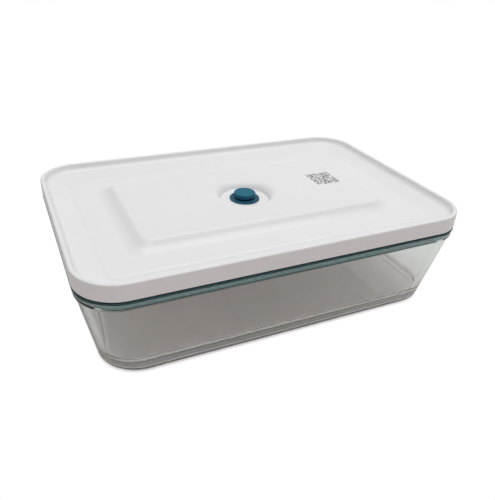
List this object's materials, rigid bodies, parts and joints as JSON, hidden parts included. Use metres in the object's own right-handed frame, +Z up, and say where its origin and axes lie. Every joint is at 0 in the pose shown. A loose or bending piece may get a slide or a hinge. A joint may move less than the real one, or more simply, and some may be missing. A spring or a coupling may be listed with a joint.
{
  "type": "vacuum food box",
  "caption": "Rectangular glass food box with a white lid, a silicone seal and a lift valve that lets a pump draw the air out and a finger let it back in.",
  "frame": {"origin": "middle of the dish's flat underside", "axes": "+X along the long side, +Y away from the viewer, +Z up out of the lid"},
  "size_m": [0.266, 0.1784, 0.0715],
  "materials": {
    "clear_glass": "polished",
    "lid_white": "satin",
    "petrol_silicone": "satin"
  },
  "bodies": {
    "dish": {"glass_dish": "clear_glass"},
    "lid": {"lid_cover": "lid_white", "lid_inner_plate": "lid_white", "lid_gasket": "petrol_silicone"},
    "valve": {"vent_valve": "petrol_silicone"}
  },
  "joints": [
    {"name": "lid_lift", "type": "slide", "parent": "dish", "child": "lid", "axis": [0, 0, 1], "range_m": [0, 0.12]},
    {"name": "valve_lift", "type": "slide", "parent": "lid", "child": "valve", "axis": [0, 0, 1], "range_m": [0, 0.0025]}
  ]
}
